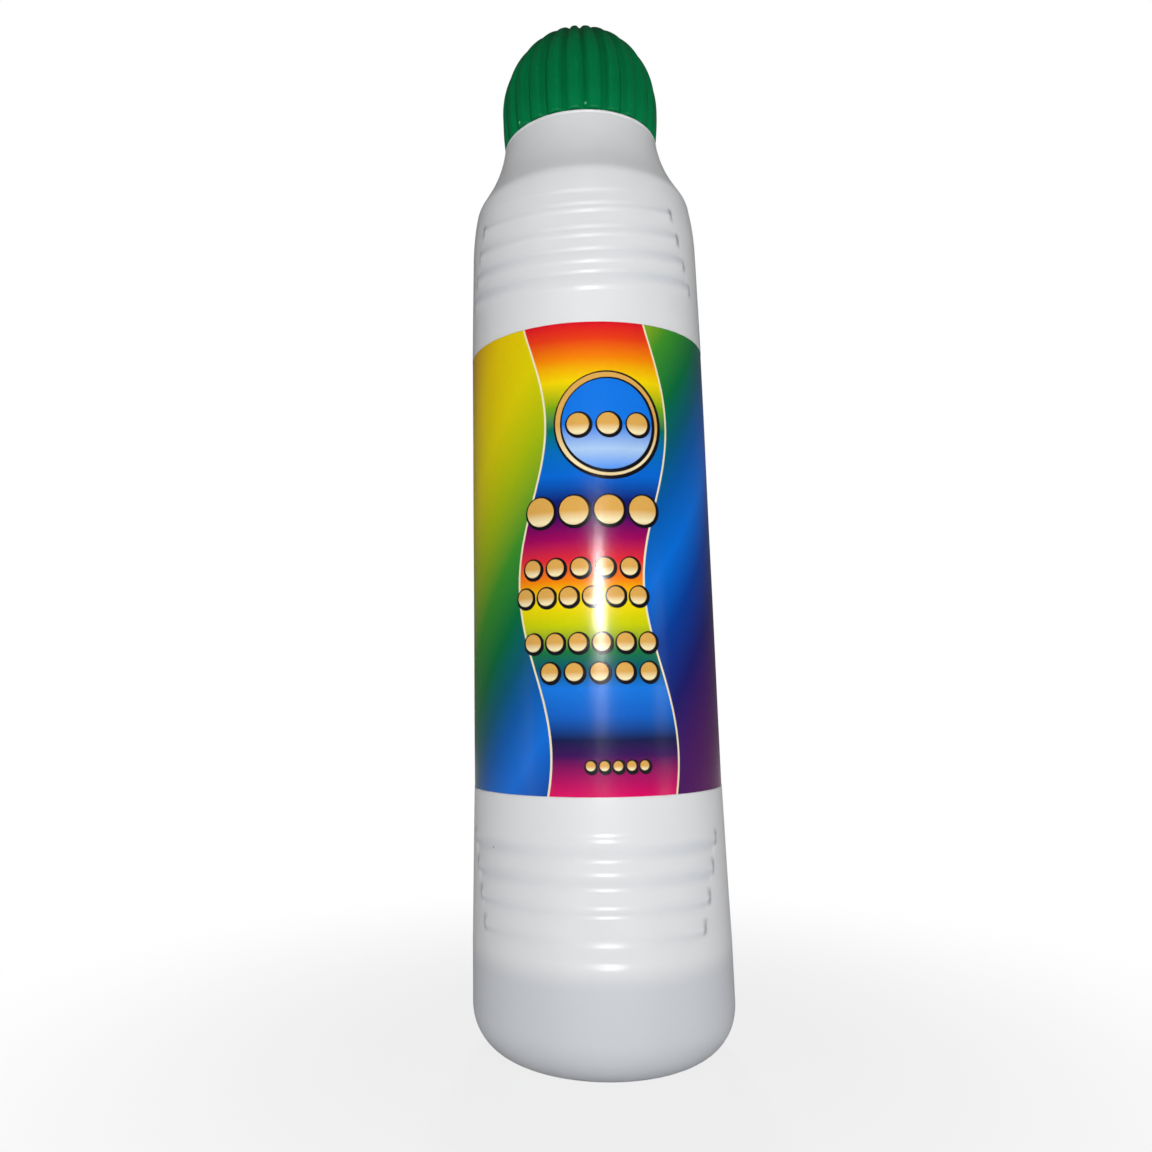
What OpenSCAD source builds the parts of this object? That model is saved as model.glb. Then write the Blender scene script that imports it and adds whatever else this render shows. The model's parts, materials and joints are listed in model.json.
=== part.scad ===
// Bingo dauber: a squeeze bottle of marking ink with a sprung sponge tip under a fluted screw cap.
// Millimetres, +Z up, standing on the origin. The grip panels face -Y (front) and +Y (back).

/* [Bottle] */
// Diameter over the label
body_d = 35; // [31:0.5:42]
// How far the base band stands out past the label, on the radius
base_flare = 0.4; // [0:0.1:1.2]
// How far the side draws in from the label to the shoulder, on the radius
shoulder_taper = 0.2; // [0:0.02:1]
// Wall of the bottle
bottle_wall = 1; // [0.8:0.1:1.6]
// Thickness of the ledge between the collar and the neck
ledge_t = 1.2; // [1:0.1:2]
// Height of the base band, heel included
band_h = 14; // [11:0.5:20]
// Radius that rounds the base into the side
heel_r = 6; // [3:0.5:8]
// Depth of the hollow under the base
push_up = 1.6; // [0.6:0.1:3]
// Width of the ring that the bottle stands on
foot_w = 2.9; // [1.5:0.1:4]
// Height of the lower grip panel, from the base band to the label
lower_grip_h = 20.6; // [18:0.2:30]
// Height of the upper grip panel, from the label to where the side starts to swell in
upper_grip_h = 16.1; // [14:0.1:26]
// Radius of the long swell from the upper grip panel to the shoulder's crease
swell_r = 40; // [25:1:60]
// Lean of the side from the vertical where the crease starts, in degrees
crease_lean = 10; // [5:1:14]
// Radius of the crease between the swell and the shoulder's slope
shoulder_round = 4; // [2.5:0.5:7]
// Slope of the shoulder from the vertical, in degrees
shoulder_slope = 30; // [24:1:40]
// Radius of the hollow sweep from the shoulder up to the collar
sweep_r = 25.4; // [8:0.2:30]
// Lean of the collar from the vertical, in degrees
collar_lean = 7; // [2:1:12]
// Bevel on the collar's top edge
collar_bevel = 0.4; // [0.2:0.1:0.8]

/* [Grip grooves] */
// Grooves in each grip panel
groove_count = 4; // [1:1:4]
// Distance from one groove to the next
groove_pitch = 3.5; // [2.6:0.1:3.6]
// Width of a groove at the surface
groove_w = 3; // [1:0.1:3.2]
// Depth of a groove
groove_depth = 0.45; // [0.2:0.05:0.5]
// Height from the label down to the first lower groove
lower_setback = 7.4; // [3:0.2:8]
// Height from the label up to the first upper groove
upper_setback = 7.4; // [3:0.2:8]
// Half of the angle that the groove nearest the label spans, in degrees
groove_half_angle = 66; // [40:1:75]
// Angle that each next groove loses at each end, in degrees
groove_shorter = 4.4; // [0:0.2:6]

/* [Label] */
// Height of the label
label_h = 63; // [40:1:80]
// Thickness of the label film
label_t = 0.12; // [0.08:0.01:0.2]
// Turn of the label's middle from the middle of the grip panels, in degrees
label_turn = 7; // [-20:1:20]
// Width of the butt seam at the back
label_seam = 0.6; // [0.3:0.1:2]

/* [Neck and thread] */
// Diameter of the neck between the threads
neck_d = 18.4; // [16:0.2:21]
// Wall of the neck
neck_wall = 1.5; // [1.2:0.1:2]
// Height of the neck above the collar
neck_h = 9.8; // [9.4:0.1:12]
// Climb of the thread in one turn
thread_pitch = 3.2; // [2.8:0.1:3.4]
// Turns of thread on the neck and in the cap
thread_turns = 1.5; // [1:0.25:1.75]
// Height of the thread's ridge
thread_depth = 1; // [0.7:0.1:1.2]
// Width of the ridge at its foot
thread_foot_w = 1.5; // [1.2:0.1:1.6]
// Width of the ridge at its crest
thread_crest_w = 0.7; // [0.4:0.1:0.8]
// Height from the collar to the middle of the thread's lower end
thread_setback = 1.9; // [1.6:0.1:2.2]

/* [Cap] */
// Least wall of the cap's skirt, under the flutes
cap_wall = 1.05; // [0.8:0.05:1.6]
// Wall of the cap at its crown
crown_wall = 1.3; // [1:0.1:2.5]
// Room between the tip and the inside of the cap's crown
tip_headroom = 2.45; // [1:0.05:4]
// How far the cap swells past its lower edge, on the radius
cap_bulge = 0.4; // [0.1:0.1:1]
// Height of the widest place above the cap's lower edge
cap_belly_h = 5.9; // [4:0.1:7]
// Flutes round the cap
flute_count = 24; // [12:1:30]
// Angle of the first channel between two flutes, in degrees
flute_turn = 9; // [0:1:15]
// Depth of the channel between two flutes
flute_depth = 0.5; // [0.2:0.05:0.6]
// Width of the channel between two flutes
flute_gap = 0.7; // [0.4:0.1:1.2]
// Radius of the plain crown where the flutes end
crown_r = 3.6; // [2.5:0.1:5]
// Thickness of the seal ring
seal_t = 1; // [0.6:0.1:1.6]
// Width of the seal ring
seal_w = 1; // [0.7:0.05:1.2]

/* [Dauber tip] */
// How far the housing's flange reaches past the neck's bore
flange_lip = 0.6; // [0.4:0.05:0.7]
// Thickness of the housing's flange
flange_t = 1.2; // [0.8:0.1:2]
// Width of the cover's edge under the clamp ring
brim_w = 1; // [0.7:0.1:1.4]
// Thickness of the cover
cover_t = 0.3; // [0.2:0.05:0.5]
// Height of the tip above the housing's deck
tip_h = 5.45; // [4.8:0.05:8]
// Height of the tip's upright side
tip_side_h = 1.95; // [1.6:0.05:2.6]
// Thickness of the clamp ring's lip
clamp_lip_t = 1.2; // [0.8:0.1:1.8]
// How far the clamp ring stays inside the neck, on the radius
clamp_inset = 0.2; // [0.1:0.05:0.3]
// Bevel on the clamp ring's outer edge
clamp_bevel = 0.4; // [0.2:0.1:0.5]

/* [Valve] */
// Depth that the housing's plug reaches below the neck's rim
plug_len = 13; // [11:0.5:18]
// Wall of the plug round the spring retainer
plug_wall = 1; // [0.7:0.1:1.5]
// Step that the spring retainer butts against
retainer_step = 0.6; // [0.3:0.1:1]
// Thickness of the spring retainer
retainer_t = 1.5; // [1:0.1:2.5]
// Ink ports in the spring retainer
port_count = 6; // [3:1:8]
// Diameter of an ink port
port_d = 2.2; // [1:0.1:2.2]
// Thickness of the deck that the valve closes on
deck_t = 1.5; // [1:0.1:2.5]
// Diameter of the valve stem
stem_d = 2.8; // [2:0.1:3.2]
// Diameter of the head that bears on the sponge
head_d = 4.2; // [3.6:0.1:4.4]
// Thickness of the head
head_t = 0.8; // [0.5:0.1:1.2]
// Diameter of the plate under the washer
plate_d = 7.2; // [6.6:0.1:8.4]
// Thickness of the plate
plate_t = 1; // [0.8:0.1:1.6]
// Thickness of the washer
washer_t = 0.8; // [0.5:0.1:1.2]
// Travel of the tip when it is pressed
press_travel = 1.8; // [0.8:0.1:2]
// Wire of the return spring
wire_d = 0.5; // [0.3:0.05:0.6]
// Diameter of the spring at the middle of the wire
coil_d = 4.8; // [4.2:0.1:5.2]
// Curls of the spring
coil_turns = 6; // [4:0.5:7]
// Height of the pegs that centre the spring
peg_h = 1.2; // [0.6:0.1:2]

/* [Ink] */
// Height of the ink above the shoulder's crease
ink_over_shoulder = -1.4; // [-20:0.2:5]

/* [Fits] */
// Clearance of pressed and snapped pieces, on the radius
snap_gap = 0.05; // [0.02:0.01:0.1]
// Clearance between the cap and what it passes over
cap_gap = 0.3; // [0.2:0.05:0.5]
// Clearance round soft pieces
soft_gap = 0.1; // [0.05:0.05:0.2]
// Clearance under the label film
film_gap = 0.02; // [0.01:0.01:0.05]
// Clearance round the ink
ink_gap = 0.05; // [0.02:0.01:0.2]
// Clearance round the stem for the ink to pass
flow_gap = 0.9; // [0.7:0.1:1.2]

/* [Hidden] */
$fn = 96;
arc_steps = 8;
dome_steps = 12;
thread_steps = 24;
wire_sides = 6;
curl_rings = 12;
// How far a cutter reaches past what it cuts
past = 1;
// Angle where the threads start, how deep their foot is sunk, and the steps over which they rise
thread_start = 7;
thread_sink = 0.3;
fade_steps = 3;
// Angle over which the flutes run out at the crown
flute_fade = 10;

// Radii of the neck, the thread and the cap, worked outwards
neck_r = neck_d / 2;
bore_r = neck_r - neck_wall;
thread_r = neck_r + thread_depth;
cap_bore_r = thread_r + cap_gap;
cap_thread_r = neck_r + cap_gap;
cap_edge_r = cap_bore_r + cap_wall + flute_depth;
cap_belly_r = cap_edge_r + cap_bulge;

// Radii of the bottle
body_r = body_d / 2;
base_r = body_r + base_flare;
top_r = body_r - shoulder_taper;
collar_r = cap_edge_r;
panel_r = body_r - label_t - film_gap;
foot_r = base_r - heel_r - foot_w;

// Heights of the bottle from the base up
label_z = band_h + lower_grip_h;
label_top = label_z + label_h;
swell_z = label_top + upper_grip_h;
shoulder_z = swell_z + swell_r * sin(crease_lean);
crease_x = top_r - swell_r + (swell_r - shoulder_round) * cos(crease_lean);
crease_z = shoulder_z - shoulder_round * sin(crease_lean);
slope_r = crease_x + shoulder_round * cos(shoulder_slope);
sweep_in = cos(collar_lean) - cos(shoulder_slope);
sweep_round = min(sweep_r, (slope_r - collar_r) / sweep_in);
slope_len = (slope_r - collar_r - sweep_round * sweep_in) / sin(shoulder_slope);
collar_z = crease_z + shoulder_round * sin(shoulder_slope) + slope_len * cos(shoulder_slope)
    + sweep_round * (sin(shoulder_slope) - sin(collar_lean));
rim_z = collar_z + neck_h;

// Tip and housing, stacked on the neck's rim
deck_z = rim_z + flange_t;
flange_r = bore_r + flange_lip;
plug_r = bore_r - snap_gap;
plug_z = rim_z - plug_len;
retainer_r = plug_r - plug_wall;
cage_r = retainer_r - retainer_step;
seat_z = plug_z + retainer_t;
tip_r = flange_r - brim_w;
lip_r = tip_r + 2 * soft_gap;
clamp_r = neck_r - clamp_inset;
clamp_top = deck_z + cover_t + clamp_lip_t;
tip_top = deck_z + tip_h;
tip_dome_h = tip_h - tip_side_h;
tip_dome_r = (tip_r * tip_r + tip_dome_h * tip_dome_h) / (2 * tip_dome_h);
tip_dome_z = tip_top - tip_dome_r;

// Valve, hung under the deck
stem_r = stem_d / 2;
hole_r = stem_r + flow_gap;
washer_z = deck_z - deck_t - washer_t;
plate_z = washer_z - plate_t;
head_z = deck_z + press_travel + 2 * soft_gap;
coil_r = coil_d / 2;
peg_r = coil_r - wire_d / 2 - 2 * soft_gap;
coil_z = seat_z + wire_d / 2 + soft_gap;
coil_rise = plate_z - seat_z - wire_d - 2 * soft_gap;

// Cap, worked up from the collar and down from the tip
cap_edge_z = collar_z + cap_gap;
cap_belly_z = cap_edge_z + cap_belly_h;
cap_roof_z = tip_top + tip_headroom;
cap_top = cap_roof_z + crown_wall;
cap_dome_h = cap_top - cap_belly_z;
edge_angle = acos(cap_edge_r / cap_belly_r);
skirt_c = cap_belly_h / sin(edge_angle);
crown_angle = acos(crown_r / cap_belly_r);
seal_r = clamp_r - soft_gap;
pocket_r = clamp_r + cap_gap;
ledge_z = clamp_top + seal_t + snap_gap;
ledge_r = seal_r - seal_w - soft_gap;

// Points on a round stretch from angle a0 to angle a1, without the first one if skip is 1
function arc(x, z, r, a0, a1, skip = 0) =
    [for (i = [skip:arc_steps]) let(a = a0 + (a1 - a0) * i / arc_steps) [x + r * cos(a), z + r * sin(a)]];

// Side of the bottle from heel to collar, moved in by inset and ended drop below the collar
function side(inset, drop) = let(
    lean = asin((sweep_round * sin(collar_lean) + drop) / (sweep_round + inset)),
    sweep_x = collar_r + sweep_round * cos(collar_lean),
    sweep_z = collar_z + sweep_round * sin(collar_lean))
    concat(
        arc(base_r - heel_r, heel_r, heel_r - inset, -90, 0),
        [[base_r - inset, band_h], [body_r - inset, label_z], [body_r - inset, label_top]],
        arc(top_r - swell_r, swell_z, swell_r - inset, 0, crease_lean),
        arc(crease_x, crease_z, shoulder_round - inset, crease_lean, shoulder_slope, 1),
        arc(sweep_x, sweep_z, sweep_round + inset, 180 + shoulder_slope, 180 + lean));

// Floor of the bottle from the axis to the heel, moved up by inset
function floor_line(inset) = let(back = inset * tan(22.5))
    [[0, push_up + inset], [foot_r - push_up - back, push_up + inset], [foot_r - back, inset]];

// Inside of the bottle up to the neck, moved in by inset
function cavity(inset) = concat(floor_line(inset), side(inset, ledge_t), [[0, collar_z - ledge_t]]);

function reversed(list) = [for (i = [len(list) - 1:-1:0]) list[i]];

// Radius of the side at a height in one of the grip panels
function side_r(z) =
    z < label_z ? base_r + (body_r - base_r) * (z - band_h) / lower_grip_h
    : z < swell_z ? body_r + (top_r - body_r) * (z - label_top) / upper_grip_h
    : top_r - swell_r + sqrt(swell_r * swell_r - (z - swell_z) * (z - swell_z));

// Point on the cap's outline at an angle above the belly, moved in by inset
function cap_point(a, inset) =
    [(cap_belly_r - inset) * cos(a), cap_belly_z + (a < 0 ? skirt_c : cap_dome_h - inset) * sin(a)];

// Cap outline from the lower edge up to an angle above the belly
function cap_angles(top) = concat(
    [for (i = [0:2]) -edge_angle * (1 - i / 3)],
    [for (i = [0:dome_steps]) top * i / dome_steps]);

// Ridge of a screw thread, from the wall at foot_r to crest_r, sunk into the wall at its foot
module thread(foot_r, crest_r, z_start) {
    way = sign(crest_r - foot_r);
    sink = thread_sink * way;
    rings = thread_steps * thread_turns;
    points = [for (i = [0:rings]) let(
        a = thread_start + 360 * i / thread_steps,
        z = z_start + thread_pitch * i / thread_steps,
        rise = min(1, i / fade_steps, (rings - i) / fade_steps),
        crest = foot_r - sink / 2 + (crest_r - foot_r + sink / 2) * rise)
        for (p = [[foot_r - sink, -thread_foot_w], [crest, -thread_crest_w],
                [crest, thread_crest_w], [foot_r - sink, thread_foot_w]])
            [p[0] * cos(a), p[0] * sin(a), z + p[1] / 2]];
    walls = [for (i = [0:rings - 1]) for (k = [0:3]) let(
        a = 4 * i + k,
        b = 4 * i + (k + 1) % 4)
        for (t = [[a, a + 4, b + 4], [a, b + 4, b]]) t];
    last = 4 * rings;
    ends = [[0, 1, 2], [0, 2, 3], [last, last + 2, last + 1], [last, last + 3, last + 2]];
    faces = concat(walls, ends);
    polyhedron(points, way < 0 ? faces : [for (f = faces) reversed(f)]);
}

// Round-bottomed groove round part of a grip panel
module groove(z, half_angle) {
    cut_r = (groove_w * groove_w / 4 + groove_depth * groove_depth) / (2 * groove_depth);
    ring_r = side_r(z) - groove_depth + cut_r;
    translate([0, 0, z])
        rotate([0, 0, -half_angle])
            rotate_extrude(angle = 2 * half_angle)
                translate([ring_r, 0])
                    circle(cut_r);
}

module grip_grooves() {
    for (face = [-90, 90])
        for (i = [0:groove_count - 1])
            rotate([0, 0, face])
                for (z = [label_z - lower_setback - i * groove_pitch,
                        label_top + upper_setback + i * groove_pitch])
                    groove(z, groove_half_angle - i * groove_shorter);
}

module bottle() {
    outside = concat(
        floor_line(0), side(0, collar_bevel),
        [[collar_r - collar_bevel, collar_z], [neck_r, collar_z], [neck_r, rim_z], [bore_r, rim_z]],
        [[bore_r, collar_z - ledge_t]],
        reversed(concat(floor_line(bottle_wall), side(bottle_wall, ledge_t))));
    color("white") {
        difference() {
            rotate_extrude()
                polygon(outside);
            rotate_extrude()
                translate([panel_r, label_z - snap_gap])
                    square([past + label_t, label_h + 2 * snap_gap]);
            grip_grooves();
        }
        thread(neck_r, thread_r, collar_z + thread_setback);
    }
}

module label() {
    seam_angle = label_seam / body_r * 180 / PI;
    color("dodgerblue")
        rotate([0, 0, 90 + label_turn + seam_angle / 2])
            rotate_extrude(angle = 360 - seam_angle)
                translate([panel_r + film_gap, label_z])
                    square([label_t, label_h]);
}

// Channel between two flutes, standing in the XZ plane and running out at the crown
module flute_channel() {
    angles = cap_angles(crown_angle);
    outer = [for (a = angles) cap_point(a, -past)];
    floor_points = [for (a = angles) cap_point(a, flute_depth * min(1, (crown_angle - a) / flute_fade))];
    below = [[cap_edge_r + past, cap_edge_z - past], [cap_edge_r - flute_depth, cap_edge_z - past]];
    rotate([90, 0, 0])
        linear_extrude(height = flute_gap, center = true)
            polygon(concat([below[0]], outer, reversed(floor_points), [below[1]]));
}

module cap() {
    outline = [for (a = cap_angles(90)) cap_point(a, 0)];
    roof = [for (i = [0:dome_steps]) let(a = 90 * i / dome_steps)
        [ledge_r * cos(a), ledge_z + (cap_roof_z - ledge_z) * sin(a)]];
    inside = concat(
        [[0, cap_edge_z - past], [cap_bore_r, cap_edge_z - past], [cap_bore_r, rim_z - cap_gap]],
        [[pocket_r, deck_z], [pocket_r, ledge_z]],
        roof);
    color([0, 0.43, 0.24]) {
        difference() {
            rotate_extrude()
                polygon(concat([[0, cap_edge_z]], outline));
            rotate_extrude()
                polygon(inside);
            for (i = [0:flute_count - 1])
                rotate([0, 0, flute_turn + i * 360 / flute_count])
                    flute_channel();
        }
        thread(cap_bore_r, cap_thread_r, collar_z + thread_setback + thread_pitch / 2);
    }
}

module cap_seal_ring() {
    color("whitesmoke")
        rotate_extrude()
            translate([seal_r - seal_w, clamp_top])
                square([seal_w, seal_t]);
}

module clamp_ring() {
    section = [
        [flange_r + snap_gap, rim_z], [clamp_r, rim_z], [clamp_r, clamp_top - clamp_bevel],
        [clamp_r - clamp_bevel, clamp_top], [lip_r, clamp_top], [lip_r, clamp_top - clamp_lip_t],
        [flange_r + snap_gap, clamp_top - clamp_lip_t]];
    color("white")
        rotate_extrude()
            polygon(section);
}

// Side and dome of the tip, moved in by inset, from the side's foot to the top
function tip_line(inset) = let(
    r = tip_dome_r - inset,
    start = acos((tip_r - inset) / r))
    arc(0, tip_dome_z, r, start, 90);

module sponge_cover() {
    brim_r = flange_r - soft_gap;
    section = concat(
        [[tip_r - cover_t, deck_z], [brim_r, deck_z], [brim_r, deck_z + cover_t], [tip_r, deck_z + cover_t]],
        tip_line(0), reversed(tip_line(cover_t)));
    color("honeydew")
        rotate_extrude()
            polygon(section);
}

module sponge() {
    inset = cover_t + soft_gap / 2;
    foot = deck_z + soft_gap;
    pocket = [head_d / 2 + soft_gap, head_z + head_t + soft_gap];
    color("palegreen")
        rotate_extrude()
            polygon(concat([[pocket[0], foot], [tip_r - inset, foot]], tip_line(inset), [[0, pocket[1]], pocket]));
}

module dauber_housing() {
    section = [
        [hole_r, deck_z], [flange_r, deck_z], [flange_r, rim_z], [plug_r, rim_z], [plug_r, plug_z],
        [retainer_r, plug_z], [retainer_r, seat_z], [cage_r, seat_z], [cage_r, deck_z - deck_t],
        [hole_r, deck_z - deck_t]];
    color("gainsboro")
        rotate_extrude()
            polygon(section);
}

module valve_stem() {
    plate_r = plate_d / 2;
    head_r = head_d / 2;
    section = [
        [0, plate_z - peg_h], [peg_r, plate_z - peg_h], [peg_r, plate_z], [plate_r, plate_z],
        [plate_r, washer_z], [stem_r, washer_z], [stem_r, head_z], [head_r, head_z],
        [head_r, head_z + head_t], [0, head_z + head_t]];
    color("ivory")
        rotate_extrude()
            polygon(section);
}

module valve_washer() {
    hole = stem_r + snap_gap;
    color("dimgray")
        rotate_extrude()
            translate([hole, washer_z])
                square([plate_d / 2 - soft_gap - hole, washer_t]);
}

// Middle of the wire after a share of the coil's curls
function coil_point(s) =
    [coil_r * cos(360 * coil_turns * s), coil_r * sin(360 * coil_turns * s), coil_z + coil_rise * s];

module return_spring() {
    rings = curl_rings * coil_turns;
    middle = [for (i = [0:rings]) coil_point(i / rings)];
    points = [for (i = [0:rings]) for (k = [0:wire_sides - 1]) let(
        turn = 360 * coil_turns * i / rings,
        a = 360 * k / wire_sides,
        r = coil_r + wire_d / 2 * cos(a))
        [r * cos(turn), r * sin(turn), middle[i][2] + wire_d / 2 * sin(a)]];
    walls = [for (i = [0:rings - 1]) for (k = [0:wire_sides - 1]) let(
        a = wire_sides * i + k,
        b = wire_sides * i + (k + 1) % wire_sides)
        for (t = [[a, b, b + wire_sides], [a, b + wire_sides, a + wire_sides]]) t];
    last = wire_sides * rings;
    ends = [for (k = [1:wire_sides - 2]) for (t = [[0, k + 1, k], [last, last + k, last + k + 1]]) t];
    apart = [for (i = [0:rings]) for (j = [i + curl_rings / 2:rings]) norm(middle[i] - middle[j])];
    echo(spring_gap_to_itself = min(apart) - wire_d);
    color("silver")
        polyhedron(points, concat(walls, ends));
}

module spring_retainer() {
    ring_r = (peg_r + cage_r) / 2;
    color("gainsboro")
        difference() {
            union() {
                translate([0, 0, plug_z])
                    cylinder(h = retainer_t, r = retainer_r - snap_gap);
                translate([0, 0, plug_z])
                    cylinder(h = retainer_t + peg_h, r = peg_r);
            }
            for (i = [0:port_count - 1])
                rotate([0, 0, i * 360 / port_count])
                    translate([ring_r, 0, plug_z - past])
                        cylinder(h = retainer_t + 2 * past, d = port_d);
        }
}

module ink_charge() {
    color("seagreen")
        intersection() {
            rotate_extrude()
                polygon(cavity(bottle_wall + ink_gap));
            cylinder(h = shoulder_z + ink_over_shoulder, r = base_r);
        }
}

bottle();
label();
cap();
cap_seal_ring();
clamp_ring();
sponge_cover();
sponge();
dauber_housing();
valve_stem();
valve_washer();
return_spring();
spring_retainer();
ink_charge();
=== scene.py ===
import json
import math

import bpy
import numpy as np
from mathutils import Matrix, Vector


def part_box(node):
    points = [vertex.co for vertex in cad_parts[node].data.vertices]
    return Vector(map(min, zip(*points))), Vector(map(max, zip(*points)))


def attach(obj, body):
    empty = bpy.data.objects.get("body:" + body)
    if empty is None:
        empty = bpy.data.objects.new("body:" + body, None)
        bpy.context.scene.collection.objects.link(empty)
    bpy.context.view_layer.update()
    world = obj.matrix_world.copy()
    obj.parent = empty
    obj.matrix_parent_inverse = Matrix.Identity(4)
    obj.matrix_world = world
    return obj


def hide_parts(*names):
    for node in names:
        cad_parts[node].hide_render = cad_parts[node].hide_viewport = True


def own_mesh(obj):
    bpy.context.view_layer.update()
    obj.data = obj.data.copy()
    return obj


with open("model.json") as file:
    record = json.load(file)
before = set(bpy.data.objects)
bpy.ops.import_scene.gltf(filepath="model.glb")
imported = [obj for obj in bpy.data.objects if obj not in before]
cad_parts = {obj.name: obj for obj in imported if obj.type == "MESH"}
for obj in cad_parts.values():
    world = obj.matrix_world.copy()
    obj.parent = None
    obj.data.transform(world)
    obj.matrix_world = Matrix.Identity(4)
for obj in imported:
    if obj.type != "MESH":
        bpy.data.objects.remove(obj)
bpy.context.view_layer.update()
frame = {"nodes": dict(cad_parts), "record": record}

MM = 0.001


def foot(node):
    """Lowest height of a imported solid, in millimetres."""
    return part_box(node)[0].z / MM


def top(node):
    """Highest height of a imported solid, in millimetres."""
    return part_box(node)[1].z / MM


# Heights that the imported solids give, in millimetres
LABEL_Z, LABEL_TOP = foot("label"), top("label")
RIM_Z, CLAMP_TOP = foot("clamp_ring"), top("clamp_ring")
DECK_Z, TIP_TOP = top("dauber_housing"), top("sponge_cover")
CAP_EDGE_Z, CAP_TOP = foot("cap"), top("cap")
SEAL_Z, SEAL_TOP = foot("cap_seal_ring"), top("cap_seal_ring")
COIL_LOW, COIL_HIGH = foot("return_spring"), top("return_spring")

# Sizes that the part's source has too, in millimetres and degrees
BASE_R, BODY_R, TOP_R, PANEL_R, COLLAR_R = 17.9, 17.5, 17.3, 17.36, 12.05
BAND_H, HEEL_R, PUSH_UP, FOOT_R, WALL = 14.0, 6.0, 1.6, 9.0, 1.0
UPPER_GRIP_H, SWELL_R, CREASE_LEAN = 16.1, 40.0, 10.0
SHOULDER_ROUND, SHOULDER_SLOPE, SWEEP_R, COLLAR_LEAN = 4.0, 30.0, 25.4, 7.0
LEDGE_T = 1.2
GROOVES, GROOVE_PITCH = 4, 3.5
GROOVE_SETBACK, GROOVE_HALF_ANGLE, GROOVE_SHORTER = 7.4, 66.0, 4.4
LABEL_T, LABEL_TURN, LABEL_SEAM = 0.12, 7.0, 0.6
NECK_R, BORE_R = 9.2, 7.7
THREAD_PITCH, THREAD_TURNS, THREAD_DEPTH = 3.2, 1.5, 1.0
THREAD_FOOT, THREAD_CREST, THREAD_SETBACK, THREAD_START, THREAD_FADE = 1.5, 0.7, 1.9, 7.0, 45.0
CAP_GAP, CAP_BELLY_R, CAP_BELLY_H, CAP_BORE_R = 0.3, 12.45, 5.9, 10.5
FLUTES, FLUTE_TURN, FLUTE_DEPTH, CROWN_R = 24, 9.0, 0.5, 3.6
POCKET_R, LEDGE_R, CROWN_WALL, SNAP_GAP = 9.3, 7.8, 1.3, 0.05
FLANGE_R, CLAMP_R, CLAMP_LIP_R, CLAMP_LIP_T, CLAMP_BEVEL = 8.3, 9.0, 7.5, 1.2, 0.4
SEAL_R, SEAL_W = 8.9, 1.0
TIP_R, TIP_SIDE_H, COVER_T, SOFT_GAP = 7.3, 1.95, 0.3, 0.1
HEAD_R, HEAD_T, PRESS_TRAVEL = 2.1, 0.8, 1.8
WIRE_D, COIL_R, COIL_TURNS = 0.5, 2.4, 6

COLLAR_Z = CAP_EDGE_Z - CAP_GAP

# Forms of the finish, which only the eye needs, in millimetres and degrees
# Edges of the grip rings: distance from the label, width and slope of each
UPPER_EDGES = (
    (4.9, 1.0, 0.33), (7.4, 0.7, 0.33), (8.9, 0.7, 0.33), (10.8, 0.7, 0.33), (12.8, 0.7, 0.33),
    (14.1, 0.7, 0.33), (16.6, 0.7, 0.36), (17.7, 0.7, 0.36), (19.8, 0.8, 0.36))
LOWER_EDGES = (
    (4.6, 0.7, 0.25), (5.3, 0.7, 0.25), (7.75, 0.6, 0.25), (9.3, 0.7, 0.25), (11.1, 0.6, 0.25),
    (13.25, 0.7, 0.27), (14.3, 0.6, 0.28), (17.5, 1.2, 0.36), (20.0, 1.2, 0.38))
# Mesh rows across an edge, as shares of its width
EDGE_ROWS = np.array([-0.7, -0.45, -0.3, -0.15, 0, 0.15, 0.3, 0.45, 0.7])
# The edges are full in the middle of a panel and weak at its sides, where the upper rings bend up
RING_MIDDLE_AT, RING_MIDDLE_ANGLE, RING_SIDE_SHARE = 7.0, 24.0, 0.12
RING_SAG, RING_SAG_FADE = 1.5, 5.0
# Falls between the rings, all round the panel, and deeper ones on its flanks
UPPER_FALL, LOWER_FALL, RING_FALL_W, RING_FALL_BACK = 0.03, 0.09, 0.9, 0.6
UPPER_FLANK_FALL, LOWER_FLANK_FALL, FLANK_FALL_W = 0.06, 0.22, 1.5
FLANK_FROM, FLANK_OVER = 10.0, 24.0
# Raised ends of the rings
RING_END_BACK, RING_END_RISE, RING_END_H, RING_END_L, RING_END_DROP = 1.3, 0.2, 1.4, 6.0, 0.8
# Other forms of the bottle
COLLAR_BEAD_R, COLLAR_BEAD_OUT = 0.25, 0.06
FLOOR_ROUND, FLOOR_REACH, RIM_ROUND, NECK_FILLET = 1.45, 0.6, 0.25, 0.35
PARTING_H, PARTING_W = 0.05, 0.16
PINCH_H, PINCH_W = 0.22, 0.4
WAVER_H, RIPPLE_H = 0.02, 0.012
# Cap and tip
RIB_ROUND, FLUTE_HALF_W, CAP_EDGE_ROUND = 0.3, 1.0, 0.5
PLEATS, PLEAT_H, PLEAT_FROM_TOP, PLEAT_OVER = 21, 0.09, 1.2, 2.5
COVER_SOFT_H, PORE_H = 0.035, 0.04
SEAL_ROUND = 0.2
SHARP_ANGLE, WIRE_SHARP_ANGLE = 38, 50


# Mesh helpers: sections are rows of radius and height in millimetres

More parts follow.
